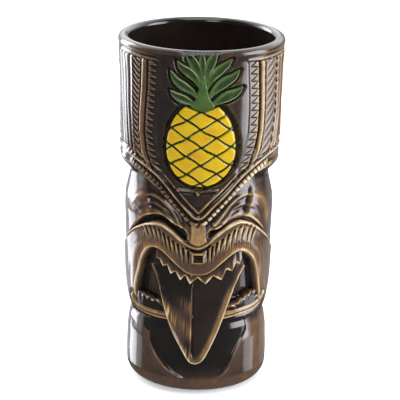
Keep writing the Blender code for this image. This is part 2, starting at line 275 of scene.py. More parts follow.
FACE_LEVELS = [0, 14, 25, 31, 33, 34.2, 36, 39, 45, 55, 65, 76, 85, 93, 98.7, 112, 165]
FACE_RADII = [33, 33, 32.7, 31.9, 31.1, 30.9, 31.5, 32.4, 33, 33.4, 33.8, 34.3, 34.1, 33, 31.7, 31.4, 31.4]
HEAD_LEVELS = [80, 112, 124, 150, 160, LIP_LOW]
HEAD_RADII = [36.4, 36.7, 36.9, 37.4, 37.9, RIM_RADIUS]
face_ground = blurred(np.interp(Z, FACE_LEVELS, FACE_RADII), 0.8)
head_ground = np.interp(Z, HEAD_LEVELS, HEAD_RADII)


def from_curve(points, margin=6):
    """Signed distance in mm to the smooth curve through the points."""
    return path_distance(smooth_path(points), margin)[0]


def v_edge_blend():
    """1 on the headdress and 0 on the face, sharp under the V and rounded at the sides and back."""
    edge = np.array(V_EDGE, float)
    level = np.interp(T, edge[:, 0], edge[:, 1])
    width = 1.3 + 6.7 * rise(ASIDE - 58, 34)
    return rise(Z - (level - width / 2), width)


def hatch(phase, sharpness=2):
    """0 on the land between strokes and 1 at the bottom of each stroke."""
    wave = np.abs(2 * (phase - np.floor(phase)) - 1)
    return wave ** sharpness


def strokes(first, last, period, slope, depth, sharpness=2):
    """Slanting strokes cut between two lines of a panel."""
    inside = rise(column_line(first) - 0.25, 0.5) * rise(-column_line(last) - 0.25, 0.5)
    return -depth * hatch((Z + slope * T * ARC) / period, sharpness) * inside


def panel_lines(lines, mask):
    return sum(ridge(column_line(points), amount, width) for points, amount, width in lines) * mask


def toothed(distance, level, period, reach):
    """A row of triangular teeth that point away from a line, cut free of the wall round them."""
    share = hatch(level / period, 1)
    edge = (reach * (1 - share) + 0.4 - distance) / math.hypot(1, 2 * reach / period)
    near = rise(distance - 0.3, 0.4) * rise(reach + 1.8 - distance, 2.4)
    return -0.5 * rise(-edge, 0.5) * near


def headdress_relief():
    v_distance, v_along = path_distance(smooth_path(V_RIDGE), 14)
    near_v = np.abs(v_distance) < 50
    field = np.where(near_v, rise(v_distance - 0.6, 1), 1) * rise(159 - Z, 0.8)

    # The far left columns are shallow
    relief = panel_lines(LEFT_LINES, field * (1 - 0.7 * rise(-54 - T, 6)))
    relief += panel_lines(RIGHT_LINES, field)
    relief += strokes(LEFT_LINES[3][0], LEFT_LINES[2][0], 2.6, 0.72, 0.55) * field
    relief += strokes(RIGHT_LINES[2][0], RIGHT_LINES[3][0], 3.7, -0.6, 0.75, 2.2) * field

    # The toothed columns beside the pineapple
    left_groove = column_line(LEFT_LINES[0][0])
    relief += toothed(left_groove, Z + 0.25 * left_groove, 2.85, 4.6) * field
    right_groove = column_line(RIGHT_LINES[0][0])
    relief += toothed(-right_groove, Z - 0.22 * right_groove, 3.4, 4.4) * field

    # The same panels again round the back
    behind = field * rise(ASIDE - 84, 2)
    lean = 3 * np.sin((Z - 112) / 48 * math.pi)
    for start in (88, 138):
        for side in (-1, 1):
            local = (side * T - start - lean) * ARC
            for shift, amount, width in BACK_LINES:
                relief += behind * ridge(local - shift, amount, width)
            stroke_zone = rise(local - 4.4, 0.5) * rise(11.6 - local, 0.5)
            relief -= behind * 0.85 * hatch((Z - 0.7 * local) / 2.9) * stroke_zone
            relief += behind * toothed(local - 16.8, Z, 3.2, 4.6)

    # Border under the rim
    border = ridge(Z - 160.9, -0.45, 0.45) + ridge(Z - 159.9, 0.2, 0.4) + ridge(Z - 158.9, -0.4, 0.4)
    relief += rise(np.abs(T - 2) - 33, 6) * border

    # The band along the V
    relief += ridge(v_distance, 0.5, 0.45) + ridge(v_distance + 1.5, -0.9, 0.75)
    relief += ridge(v_distance + 4.5, 0.3, 0.4) * rise(-18 - T, 8)
    relief += ridge(v_distance - 1.5, -0.7, 0.7)
    inner_end = rise(39 - ASIDE, 3)
    relief += ridge(v_distance - 2.9, 0.35, 0.45) * inner_end
    relief -= 0.35 * rise(v_distance - 3.6, 1) * inner_end * rise(101 - Z, 1) * near_v
    tip_along = v_along - v_along[np.argmin(np.abs(height - 87.2)), np.argmin(np.abs(theta - 0.1))]
    turn = tip_along / DENTIL_STEP
    block = np.abs(turn - np.floor(turn) - 0.5) * DENTIL_STEP
    dentil = rise(0.92 - block, 0.5) * rise(1 - np.abs(v_distance + 3.15), 0.6) * rise(58 - ASIDE, 8)
    seat = rise(1.5 - np.abs(v_distance + 3.1), 0.8) * rise(66 - ASIDE, 8)
    relief += dentil - 0.75 * seat

    # Moulding under the fruit
    moulding = from_curve(MOULDING, 4)
    relief += ridge(moulding, 0.6, 0.45) + ridge(moulding - 1.2, -0.5, 0.6) + ridge(moulding + 1.1, -0.3, 0.5)
    return relief, dentil, v_distance


def face_relief():
    relief = np.zeros(SHAPE)
    marks = []
    front = rise(78 - ASIDE, 16)

    # Forehead between the V and the brows
    brow_top = 86 + 12 * rise(ASIDE - 44, 14)
    relief -= 1.5 * rise(Z - brow_top, 8) * rise(61 - ASIDE, 38)

    # Cheeks: a step down from the brow to a bulge
    cheek = from_curve(CHEEK_LINE, 34)
    far_from_cheek = np.abs(cheek) > 50
    below = np.where(far_from_cheek, -FAR, -cheek)
    ends = rise(70 - ASIDE, 14)
    relief += ridge(cheek, 0.5, 0.8) * ends
    at_side = rise(ASIDE - 56, 12)
    bulge_end = rise(11 - below, 8) * (1 - at_side) + rise(20 - below, 24) * at_side
    bulge_end = np.where(far_from_cheek, 0, bulge_end)
    relief += 0.9 * rise(below + 0.3, 1.4) * bulge_end * rise(98 - ASIDE, 16)
    marks.append((ridge(cheek, 0.42, 0.4) + ridge(cheek, 0.12, 1.6)) * ends)

    # Beside the eyes the brow is full and nearly upright
    above_cheek = np.where(far_from_cheek, Z - 76, cheek)
    brow_side = blurred(np.interp(Z, [70, 84, 91, 100], [34, 34.6, 34.4, 32.4]), 1)
    beside = rise(ASIDE - 40, 34) * rise(94 - ASIDE, 24) * rise(101 - Z, 4)
    relief += beside * (brow_side - face_ground) * rise(above_cheek + 0.2, 1.2)

    for side in ("left", "right"):
        on_right = side == "right"
        outer = from_curve(BROW_OUTER[side], 10)
        middle = from_curve(BROW_MIDDLE[side])
        toward_eye = np.where(np.abs(outer) > 50, -FAR, outer if on_right else -outer)
        inward = rise(44 - ASIDE, 36)
        brow_edge = rise(toward_eye + 0.2, 2) * rise(9 - np.abs(outer), 3)
        relief += 0.6 * brow_edge * rise(46 - ASIDE, 40)
        relief += ridge(outer, 0.32, 0.8) * rise(50 - ASIDE, 36)
        relief += ridge(toward_eye - 1.9, -0.34, 0.8) * rise(46 - ASIDE, 38)
        relief += (ridge(middle, 0.26, 0.6) + ridge(np.abs(middle) - 1.6, -0.2, 0.6)) * inward
        relief += ridge(from_curve(BROW_INNER[side]), 0.38, 0.8) * inward
        marks.append(ridge(outer, 0.42 if on_right else 0.3, 0.45) * rise(62 - ASIDE, 20))
        if on_right:
            marks.append(ridge(outer, 0.26, 2.6) * rise(ASIDE - 47, 14))
        else:
            marks.append(ridge(outer, 0.2, 3) * rise(-48 - T, 20) * rise(T + 70, 16))
        marks.append(ridge(middle, 0.2, 0.45) * inward)

        eye = inside_distance(smooth_path(EYE[side], closed=True, pieces=6))
        relief -= 2.6 * rise(eye - 0.4, 2.2)

        # Slits under the cheek line, leaning more toward the side
        growth, slant, glow = (0.22, 0.62, 0.36) if on_right else (0.06, -0.5, 0.26)
        for index, (angle, level) in enumerate(SLITS[side]):
            length = 5.6 + 0.9 * math.sin(index * 1.7) + growth * index
            lean = math.copysign(0.4, slant) + slant * index
            slit = smooth_path([(angle + lean * 0.9, level), (angle + lean * 0.2, level - length * 0.5),
                                (angle - lean * 0.2, level - length)])
            gap, along = path_distance(slit, 3)
            taper = np.clip(1.25 - along / length, 0.25, 1)
            relief += ridge(gap, -1.15, 0.55 * taper + 0.1) * taper
            on_slit = (along < length) * (along > 0)
            marks.append(ridge(np.abs(gap) - 0.8, glow, 0.3) * on_slit)

    # Mouth
    lip_path = smooth_path(LIP_LINE)
    lip = path_distance(lip_path, 12)[0]
    mouth = inside_distance(np.vstack([lip_path, np.array(MOUTH_FLOOR, float)]), 8)
    outside_lip = rise(-mouth, 0.8)
    relief += ridge(lip, 0.5, 0.7) * rise(Z - 42, 4)
    relief += 0.7 * rise(6 - np.abs(lip), 8) * outside_lip * rise(Z - 44, 6)
    relief -= 3.5 * rise(mouth - 1.5, 2.2)
    streaks = 0.5 + 0.5 * np.sin(T * 2.1 + 1.3 * np.sin(T * 0.77))
    band_tone = (0.12 + 0.2 * rise(ASIDE - 22, 16)) * rise(-mouth + 0.4, 0.6)
    marks.append(band_tone * np.clip(1.05 - np.abs(lip) / (3 + 3.6 * streaks), 0, 1))
    beside_mouth = rise(ASIDE - 44, 16) * rise(74 - Z, 8) * rise(Z - 46, 6) * outside_lip
    marks.append(beside_mouth * (0.1 + 0.1 * streaks))
    marks.append(ridge(lip - 0.1, 0.6, 0.33) * rise(Z - 43, 4))

    # Nostril box
    box = np.maximum(np.abs(T - 0.4) * ARC - 2.7, np.abs(Z - 67.6) - 2.2)
    relief += 0.4 * rise(0.42 - np.abs(box), 0.4) * rise(Z - 65.6, 1.6) - 1.2 * rise(-box - 0.6, 0.6)
    relief += ridge(from_curve(NOSE_GAP), -1.6, 0.75) * rise(9.5 - ASIDE, 2.5)

    # Lower lip
    lower = from_curve(LOWER_LIP)
    lip_front = rise(67 - ASIDE, 8)
    relief += 1.35 * np.sqrt(np.clip(1 - (lower / 2.1) ** 2, 0, 1)) * lip_front
    relief += (ridge(lower + 0.2, -0.35, 0.4) + ridge(lower + 2.6, -0.7, 0.7)) * lip_front
    marks.append(ridge(lower + 1.5, 0.55, 0.5) * lip_front)
    marks.append(ridge(lower - 0.9, 0.38, 0.5) * lip_front)

    # Creases beside the eyes
    marks.append(ridge(from_curve(CREASE) - 0.4, 0.36, 0.35))
    marks.append(ridge(from_curve(LID_LINE) - 0.3, 0.4, 0.35))
    return relief * np.maximum(front, rise(100 - ASIDE, 12)), np.maximum.reduce(marks) * front, mouth


def base_relief():
    shield = inside_distance(smooth_path(SHIELD, closed=True), 8)
    # The shield is an upright ground inside the rounded base
    depth = np.minimum(SHIELD_RADIUS - face_ground, -0.3)
    relief = depth * rise(shield - 0.2, 1.2) * rise(Z - 10, 7)
    patchy = 0.5 + 0.5 * np.sin(T * 0.31 + 0.6) * np.sin(Z * 0.45)
    wear = ridge(shield + 0.35, 0.5, 0.3) * (0.1 + 0.9 * patchy ** 1.6)
    wear *= rise(29 - Z, 3) * rise(Z - 8, 4)
    return relief * rise(36.4 - Z, 0.8), wear * rise(35 - Z, 1), shield


LEAVES = [
    [(-1, 139.9), (-6, 141.2), (-12, 142.7), (-17.6, 144.2), (-22.3, 146.6)],
    [(0, 142.8), (-5.6, 146.2), (-12.1, 148.8), (-17.8, 151.4), (-22, 155.9)],
    [(0.6, 147.6), (-3.6, 152.2), (-8.6, 155.2), (-13.2, 157.2), (-17.1, 160.4)],
    [(1.2, 150.6), (-2, 155.6), (-5.6, 159.6), (-8.7, 163), (-11, 166.2)],
    [(2, 151.4), (1.2, 156.6), (0.6, 161.2), (0.2, 166.2)],
    [(2.8, 150.6), (4.3, 155.6), (7, 160.3), (9.6, 164), (11.4, 166.4)],
    [(3.6, 147.6), (8.3, 153.2), (14, 156.9), (18.8, 159.2), (22.4, 161.6)],
    [(4.6, 142.8), (10.8, 147.8), (17.2, 150.9), (23, 152.9), (28, 156.2)],
    [(6, 139.9), (12.4, 142.2), (18.9, 144.2), (25.2, 145.6), (31, 148)],
]
LEAF_BACK = 34.6
LEAF_HALF_WIDTH = [2.05, 2.05, 2.1, 2.3, 1.6, 2.25, 2.3, 2.4, 2.4]


def leaf_width(share):
    """Half width of a leaf along it, as a share of its widest."""
    growing = 0.42 + 0.58 * rise(share - 0.28, 0.56)
    tip = np.clip((share - 0.5) / 0.5, 0, 1)
    return growing * (1 - tip ** 2) ** 0.8


FRUIT_WIDE = 15.75
FRUIT_MIDDLE = 0.65
FRUIT_LEVEL = 119.8
FRUIT_UP = 22.2
FRUIT_DOWN = 17.2
FRUIT_NOTCH = 137


def fruit_outline(count=60):
    """The fruit's outline as (mm round the pot, height): an egg with a shallow V at the top."""
    turn = np.linspace(-math.pi / 2, math.pi / 2, count)
    x = FRUIT_WIDE * np.sin(turn)
    lower = FRUIT_LEVEL - FRUIT_DOWN * np.cos(turn)
    upper = FRUIT_LEVEL + FRUIT_UP * np.cos(turn)
    upper = np.minimum(upper, FRUIT_NOTCH + 0.34 * np.abs(x))
    return x + FRUIT_MIDDLE, lower, upper


def crown_recess():
    """Distance into the recess round the fruit and the leaves, positive inside it."""
    x, lower, upper = fruit_outline()
    outline = np.vstack([np.column_stack([x, lower]), np.column_stack([x, upper])[::-1][1:-1]])
    outline[:, 0] /= ARC
    reach = inside_distance(outline, 6) + (0.4 + 0.8 * rise(T - 8, 12)) * rise(Z - 107, 8)
    for leaf, half in zip(LEAVES, LEAF_HALF_WIDTH):
        gap, along = path_distance(smooth_path(leaf), 6)
        reach = np.maximum(reach, half * leaf_width(along / along.max()) - np.abs(gap) - 0.5)
    return reach


# -------- the whole wall

RECESS_DEPTH = 1.5
blend = v_edge_blend()
head, dentil, v_distance = headdress_relief()
face, face_wear, mouth = face_relief()
base, base_wear, shield = base_relief()
recess = crown_recess()
recess_step = rise(recess + 1.5, 1)
top_fade = rise(161.9 - Z, 0.9)
head *= (1 - recess_step) * top_fade

R = (face_ground + face + base) * (1 - blend) + (head_ground + head) * blend
R -= RECESS_DEPTH * recess_step * blend
R += 0.05 * np.sin(T * 0.11 + Z * 0.13) * np.sin(Z * 0.21 + 1) * top_fade
R = np.minimum(R, RIM_RADIUS - 0.02)

fine = R - blurred(R, 0.4)
medium = R - blurred(R, 1.1)
broad = R - blurred(R, 3)
in_recess = rise(recess + 3.2, 1.4)
in_mouth = rise(mouth - 0.5, 0.6) * (1 - blend)
from_left = rise(T - 4, 6)

# Where the glaze is thin over raised edges, more so on the right; the extra on the right is partly painted
# light, for the lamps on that side
side_gain = 0.46 + 0.36 * rise(T - 10, 30) + 0.03 * (1 - blend)
side_gain -= 0.4 * np.exp(-((T - 39) / 6) ** 2) * rise(Z - 112, 6)
side_gain *= 1 - blend * (0.7 * rise(-54 - T, 8) + 0.3 * rise(T - 50, 8))
wear = np.clip((fine * 4.6 + medium * 0.5 - 0.05) * side_gain, 0, 0.62)
# A paler tone over the right of the headdress: partly painted light from the right
wear += 0.05 * rise(T - 44, 14) * rise(120 - T, 40) * blend
wear *= 1 - 0.7 * rise(3 - np.abs(shield), 2) * (Z < 36.4)
wear = np.maximum(wear, ridge(v_distance, 0.66, 0.3) * blend)
painted = np.clip(face_wear * (1 - blend) + base_wear, 0, 1)
# The right of the base below 34 mm: a painted reflection of the lamps on the right
painted += 0.15 * rise(T - 50, 10) * rise(90 - T, 20) * rise(34 - Z, 3)
wear = np.maximum(wear, painted)
wear *= (1 - 0.85 * in_recess) * (1 - 0.8 * in_mouth)
wear *= 1 - 0.35 * rise(14 - ASIDE, 8) * rise(76 - Z, 4) * rise(Z - 56, 3)
wear *= 1 - rise(1.7 - np.abs(v_distance + 3.1), 0.8) * blend * (0.62 - 0.3 * from_left)
wear = np.clip(wear + dentil * (0.06 + 0.44 * from_left + 0.12 * rise(T + 24, 14)), 0, 1)

# Where the glaze has pooled, then more darkening, in places painted shade
pool = np.clip(-fine * 2.5 - medium - broad * 0.35 + 0.1, 0, 1)
# The recess round the fruit and leaves: pooled glaze and painted shade, stronger below 142 mm round the fruit
pool = np.maximum(pool, recess_step * (0.85 * rise(142 - Z, 6) + 0.6 * rise(Z - 142, 6)))
pool = np.maximum(pool, (0.22 + 0.14 * rise(-T, 20)) * blend * rise(40 - ASIDE, 12))
pool = np.maximum(pool, 0.66 * rise(shield - 0.2, 1.2) * (Z < 36) * (0.35 + 0.65 * rise(Z - 13, 9)))
# The mouth's hollow: pooled glaze and painted shade
pool = np.maximum(pool, 0.2 * in_mouth)


# -------- meshes

def place(angle, level, radius):
    """Points in metres from angles in degrees, heights and radii in mm."""
    turn = np.radians(angle)
    return np.stack([radius * np.sin(turn), -radius * np.cos(turn), level + 0 * radius], axis=-1) * MM


def wall_surface_normals(points):
    """Outward normals of the wall's grid, which wraps round the pot."""
    across = np.roll(points, -1, axis=1) - np.roll(points, 1, axis=1)
    normal = np.cross(np.gradient(points, axis=0), across)
    return normal / (np.linalg.norm(normal, axis=-1, keepdims=True) + 1e-12)


def make_object(name, vertices, faces, slot, replaced, masks, normals=None):
    """A smooth piece of the root body, with its glaze and the masks that vary it."""
    mesh = bpy.data.meshes.new(name)
    mesh.from_pydata(vertices.tolist(), [], faces)
    mesh.update()
    for mask, values in masks.items():
        layer = mesh.attributes.new(mask, "FLOAT", "POINT")
        layer.data.foreach_set("value", np.ascontiguousarray(values, np.float32))
    mesh.polygons.foreach_set("use_smooth", np.ones(len(mesh.polygons), bool))
    if normals is not None:
        mesh.normals_split_custom_set_from_vertices(normals.tolist())
    mesh.materials.append(GLAZES[slot])
    piece = bpy.data.objects.new(name, mesh)
    scene.collection.objects.link(piece)
    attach(piece, "root")
    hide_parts(*replaced)
    return piece


def grid_faces(rows, columns, close_rows=False, close_columns=False):
    """Quads of a grid of vertices numbered row by row."""
    row = np.arange(rows if close_rows else rows - 1)
    column = np.arange(columns if close_columns else columns - 1)
    row, column = np.meshgrid(row, column, indexing="ij")
    below = (row + 1) % rows
    right = (column + 1) % columns
    quads = np.stack([row * columns + column, below * columns + column,
                      below * columns + right, row * columns + right], axis=-1)
    return quads.reshape(-1, 4).tolist()


def profile_rows(points, count):
    """Rows of a turned surface: radius, height and normal, evenly along a path of (radius, height)."""
    path = np.array(points, float)
    step = np.hypot(*np.diff(path, axis=0).T)
    place_on = np.concatenate([[0], np.cumsum(step)])
    even = np.linspace(0, place_on[-1], count)
    radius = np.interp(even, place_on, path[:, 0])
    level = np.interp(even, place_on, path[:, 1])
    d_radius = np.gradient(radius)
    d_level = np.gradient(level)
    size = np.hypot(d_radius, d_level) + 1e-9
    return radius, level, -d_level / size, d_radius / size


def arc_points(middle_radius, middle_height, radius, first, last, count=9):
    """Points on an arc of a profile, with angles in degrees from outward, upward positive."""
    turn = np.radians(np.linspace(first, last, count))
    return list(zip(middle_radius + radius * np.cos(turn), middle_height + radius * np.sin(turn)))


CUP = [(23, CUP_FLOOR), (25.4, 7.6), (27, 9.4), (27.6, 12), (28, 20), (28, 34), (27.3, 60),
       (27.3, 90), (27.7, 99), (29.2, 107), (31.6, 115), (32.4, 124), (33, 150),
       (CUP_TOP_RADIUS, LIP_LOW)]


def cup_rows(low, high, count):
    level = np.linspace(low, high, count)
    radii, levels = np.array(CUP).T
    return profile_rows(np.column_stack([np.interp(level, levels, radii), level]), count)


wall_points = place(T, Z, R)
wall_normals = wall_surface_normals(wall_points)

# Wear and pool of the turned surfaces; the lip's pool varies across it
INSIDE_TONE = (0, 0.34)
FOOT_TONE = (0.1, 0.1)
LIP_TONE = (0, 0)


def lip_with_recess(radius, level, columns):
    """Carries the recess of the crown over the outer half of the lip."""
    arc = np.arctan2(level - LIP_LOW, np.maximum(radius - LIP_MIDDLE, 0))
    cut = RECESS_DEPTH * recess_step[0, columns][None, :] * rise(1.15 - arc, 0.5)
    cut = np.where(radius > LIP_MIDDLE, cut, 0)
    return radius - cut * np.cos(arc), level - cut * np.sin(arc)


def wall_piece(name, columns, top, bottom, turned_parts, replaced, whole=False):
    """A piece of the pot's wall: its outer rows from the relief, then the turned rows that close it."""
    rows = np.where((height <= top + 1e-6) & (height >= bottom - 1e-6))[0]
    pick = np.ix_(rows, columns)
    points = [wall_points[pick]]
    normals = [wall_normals[pick]]
    worn = [wear[pick]]
    pooled = [pool[pick]]
    turn = np.radians(theta[columns])[None, :]
    flat = np.zeros(turn.shape)
    for radius, level, out, up, tone in turned_parts:
        radius, level, out, up = (np.asarray(part)[:, None] + flat for part in (radius, level, out, up))
        if tone is LIP_TONE:
            radius, level = lip_with_recess(radius, level, columns)
        points.append(place(theta[columns][None, :] + 0 * radius, level, radius))
        normals.append(np.stack([out * np.sin(turn), -out * np.cos(turn), up], axis=-1))
        worn.append(np.full(radius.shape, tone[0]))
        pooled.append(np.full(radius.shape, tone[1]))
        if tone is LIP_TONE:
            pooled[-1] = 0.7 - 0.62 * rise(radius - 37, 1.6) + 0.3 * rise(34.6 - radius, 1.2)
    worn = np.concatenate(worn)
    count_rows, count_columns = worn.shape
    faces = grid_faces(count_rows, count_columns, close_rows=True, close_columns=whole)
    if not whole:
        edge = np.arange(count_rows) * count_columns
        faces.append(edge.tolist())
        faces.append((edge + count_columns - 1)[::-1].tolist())
    make_object(name, np.concatenate(points).reshape(-1, 3), faces, "brown_glaze", replaced,
                {"wear": worn.ravel(), "pool": np.concatenate(pooled).ravel()},
                np.concatenate(normals).reshape(-1, 3))


# -------- glaze materials

def srgb(red, green, blue):
    """Linear colour from sRGB numbers of 0 to 255."""
    def linear(value):
        value = value / 255
        return value / 12.92 if value <= 0.04045 else ((value + 0.055) / 1.055) ** 2.4
    return (linear(red), linear(green), linear(blue), 1)


class Nodes:
    """Short calls for building a node tree."""

    def __init__(self, tree):
        self.tree = tree

    def put(self, socket, value):
        """Links another node's output to a socket, or sets the socket's own value."""
        if isinstance(value, bpy.types.NodeSocket):
            self.tree.links.new(value, socket)
        else:
            socket.default_value = value

    def add(self, kind, inputs=None, **settings):
        node = self.tree.nodes.new(kind)
        for key, value in settings.items():
            setattr(node, key, value)
        for key, value in (inputs or {}).items():
            self.put(node.inputs[key], value)
        return node

    def math(self, operation, *values, clamp=False):
        node = self.add("ShaderNodeMath", dict(enumerate(values)), operation=operation, use_clamp=clamp)
        return node.outputs[0]

    def scaled(self, value, factor, offset, clamp=False):
        return self.math("MULTIPLY_ADD", value, factor, offset, clamp=clamp)


class Material(Nodes):
    """A Principled material with procedural texture in object space."""

    def __init__(self, name):
        self.material = bpy.data.materials.new(name)
        self.material.use_nodes = True
        super().__init__(self.material.node_tree)
        self.shader = self.tree.nodes["Principled BSDF"]
        self.place = self.add("ShaderNodeTexCoord").outputs["Object"]

    def shade(self, values):
        for name, value in values.items():
            self.put(self.shader.inputs[name], value)

    def mask(self, name):
        return self.add("ShaderNodeAttribute", attribute_name=name).outputs["Fac"]

    def noise(self, scale, detail, stretch=(1, 1, 1)):
        mapping = self.add("ShaderNodeMapping", {"Scale": stretch, "Vector": self.place})
        node = self.add("ShaderNodeTexNoise", {"Scale": scale, "Detail": detail, "Roughness": 0.6,
                                               "Vector": mapping.outputs[0]})
        return node.outputs["Fac"]

    def ramp(self, value, stops):
        node = self.add("ShaderNodeValToRGB", {"Fac": value})
        elements = node.color_ramp.elements
        while len(elements) < len(stops):
            elements.new(0.5)
        for element, (position, colour) in zip(elements, stops):
            element.position = position
            element.color = colour
        return node.outputs["Color"]

    def mix(self, factor, first, second):
        node = self.add("ShaderNodeMix", {"Factor": factor, 6: first, 7: second}, data_type="RGBA")
        return node.outputs[2]

    def bump(self, height, strength):
        node = self.add("ShaderNodeBump", {"Strength": strength, "Distance": 0.0003, "Height": height})
        self.shade({"Normal": node.outputs["Normal"]})


def brown_glaze():
    """Tan where the wear mask is high: glaze worn thin, and painted light in places. Near black where the
    pool mask is high: pooled glaze, and painted shade in places.
    """
    glaze = Material("brown_glaze")
    wear_mask = glaze.mask("wear")
    streak = glaze.noise(420, 3, (1, 1, 0.22))
    blotch = glaze.noise(95, 4)
    speckle = glaze.noise(1500, 2)
    rough_wear = glaze.math("MULTIPLY", glaze.scaled(streak, 0.9, -0.42), glaze.scaled(wear_mask, 0.9, 0.12))
    speck = glaze.math("MULTIPLY", glaze.scaled(speckle, 0.5, -0.25), wear_mask)
    tone = glaze.math("ADD", glaze.math("ADD", wear_mask, rough_wear), speck)
    tone = glaze.scaled(blotch, 0.22, tone)
    tone = glaze.math("SUBTRACT", tone, glaze.math("MULTIPLY", glaze.mask("pool"), 0.55))
    tone = glaze.math("ADD", tone, 0.155, clamp=True)
    colour = glaze.ramp(tone, [
        (0, srgb(24, 20, 18)),
        (0.15, srgb(44, 35, 30)),
        (0.32, srgb(78, 59, 48)),
        (0.5, srgb(112, 83, 53)),
        (0.7, srgb(160, 129, 84)),
        (1, srgb(216, 196, 160)),
    ])
    roughness = glaze.scaled(blotch, 0.08, glaze.scaled(wear_mask, 0.1, 0.1))
    glaze.shade({"Base Color": colour, "Roughness": roughness, "IOR": 1.52, "Coat Weight": 0.35,
                 "Coat Roughness": 0.08})
    glaze.bump(glaze.math("ADD", glaze.math("MULTIPLY", streak, wear_mask),
                          glaze.math("MULTIPLY", blotch, 0.6)), 0.35)
    return glaze.material


def yellow_glaze():
    """Yellow with ochre patches, and dark in the incised lines."""
    glaze = Material("yellow_glaze")
    blotch = glaze.noise(150, 4)
    ochre = glaze.math("MULTIPLY", glaze.mask("pool"), glaze.scaled(blotch, 1.6, -0.3), clamp=True)
    body = glaze.mix(ochre, srgb(196, 175, 4), srgb(192, 134, 2))
    glaze.shade({"Base Color": glaze.mix(glaze.mask("wear"), body, srgb(24, 20, 14)),
                 "Roughness": glaze.scaled(blotch, 0.12, 0.16), "IOR": 1.5})
    glaze.bump(blotch, 0.25)
    return glaze.material


def green_glaze():
    """Mottled green, pale on the leaves' edges and dark in their hollows."""
    glaze = Material("green_glaze")
    blotch = glaze.noise(240, 4)
    body = glaze.mix(glaze.scaled(blotch, 1.5, -0.3, clamp=True), srgb(46, 68, 34), srgb(82, 112, 50))
    body = glaze.mix(glaze.math("MULTIPLY", glaze.mask("pool"), 0.75), body, srgb(28, 40, 26))
    glaze.shade({"Base Color": glaze.mix(glaze.mask("wear"), body, srgb(176, 184, 128)),
                 "Roughness": glaze.scaled(blotch, 0.15, 0.18), "IOR": 1.5})
    glaze.bump(blotch, 0.3)
    return glaze.material


GLAZES = {"brown_glaze": brown_glaze(), "yellow_glaze": yellow_glaze(), "green_glaze": green_glaze()}

# -------- the pot's wall

FRONT = 80.1
front_columns = np.where(np.abs(theta) <= FRONT)[0]
back_edge, front_edge = front_columns[[0, -1]]
back_columns = np.concatenate([np.arange(front_edge, len(theta), 2), np.arange(0, back_edge + 1, 2)])
if back_columns[-1] != back_edge:
    back_columns = np.append(back_columns, back_edge)
base_columns = np.concatenate([front_columns[:-1], back_columns[:-1]])

split_high = height[np.argmin(np.abs(height - 100))]
split_low = height[np.argmin(np.abs(height - 34))]

lip_path = (arc_points(CUP_TOP_RADIUS + LIP_ROUND, LIP_LOW, LIP_ROUND, 180, 90)
            + arc_points(LIP_MIDDLE, LIP_LOW, LIP_ROUND, 90, 0))
lip_part = tuple(row[1:-1] for row in profile_rows(lip_path, 26)) + (LIP_TONE,)
head_cup = cup_rows(split_high, LIP_LOW, 26) + (INSIDE_TONE,)
face_cup = cup_rows(split_low, split_high, 12) + (INSIDE_TONE,)
base_cup = cup_rows(9.4, split_low, 10) + (INSIDE_TONE,)

FACE_NODES = ["mug_body", "brow_left", "brow_right", "cheek_left", "cheek_right", "upper_lip",
              "lower_lip_left", "lower_lip_right"]
wall_piece("headdress_front", front_columns, LIP_LOW, split_high, [head_cup, lip_part], ["headdress_band"])
wall_piece("headdress_back", back_columns, LIP_LOW, split_high, [head_cup, lip_part], ["headdress_band"])
wall_piece("face_front", front_columns, split_high, split_low, [face_cup], FACE_NODES)
wall_piece("face_back", back_columns, split_high, split_low, [face_cup], FACE_NODES)

# The foot ring round a shallow recess, then the cup's floor
foot_path = (arc_points(BASE_RADIUS - FOOT_ROUND, FOOT_ROUND, FOOT_ROUND, 0, -90, 12)
             + [(21.2, 0), (20.9, 0.3), (20.6, 1.4), (20, 1.5), (10, 1.5), (0.02, 1.5)])
foot_part = tuple(row[1:] for row in profile_rows(foot_path, 40)) + (FOOT_TONE,)
floor_path = [(0.02, CUP_FLOOR), (12, CUP_FLOOR)] + CUP[:3]
floor_part = tuple(row[:-1] for row in profile_rows(floor_path, 16)) + (INSIDE_TONE,)
wall_piece("base", base_columns, split_low, FOOT_ROUND, [foot_part, floor_part, base_cup], ["mug_body"],
           whole=True)


# -------- separate relief pieces

def border(grid):
    """The values round the edge of a grid, in order."""
    return np.concatenate([grid[0, :-1], grid[:-1, -1], grid[-1, :0:-1], grid[:0:-1, 0]])


def plaque(name, angle, level, radius, back, slot, replaced, wear_mask, pool_mask):
    """A closed piece from a grid of points on the pot: a front of the given radius and a plain back."""
    front = place(angle, level, radius)
    rear = place(angle, np.minimum(level, LIP_LOW), np.minimum(radius - 0.2, back))
    vertices = np.concatenate([front.reshape(-1, 3), rear.reshape(-1, 3)])
    count = radius.size
    faces = grid_faces(*radius.shape)
    faces += [[count + corner for corner in face[::-1]] for face in faces]
    loop = border(np.arange(count).reshape(radius.shape))
    for a, b in zip(loop.tolist(), np.roll(loop, -1).tolist()):
        faces.append([a, b, b + count, a + count])
    masks = {"wear": np.tile(wear_mask.ravel(), 2), "pool": np.tile(pool_mask.ravel(), 2)}
    piece = make_object(name, vertices, faces, slot, [replaced], masks)
    mesh = bmesh.new()
    mesh.from_mesh(piece.data)
    bmesh.ops.remove_doubles(mesh, verts=mesh.verts, dist=2e-6)
    bmesh.ops.recalc_face_normals(mesh, faces=mesh.faces)
    mesh.to_mesh(piece.data)
    mesh.free()
    return piece


def from_border(angle, level, margin=20):
    """Distance inward from the border of a plaque's grid, in mm."""
    outline = np.column_stack([border(angle), border(level)])
    return np.maximum(inside_distance(outline, margin, (angle, level)), 0)


def spread(first, last, share):
    """A grid between two lines of values, one row for each value in the lines."""
    return first[:, None] + (last - first)[:, None] * share[None, :]


def rounded_edge(distance, radius):
    """0 at an outline, 1 from radius inward, along a quarter circle."""
    t = np.clip(distance / radius, 0, 1)
    return np.sqrt(1 - (1 - t) ** 2)


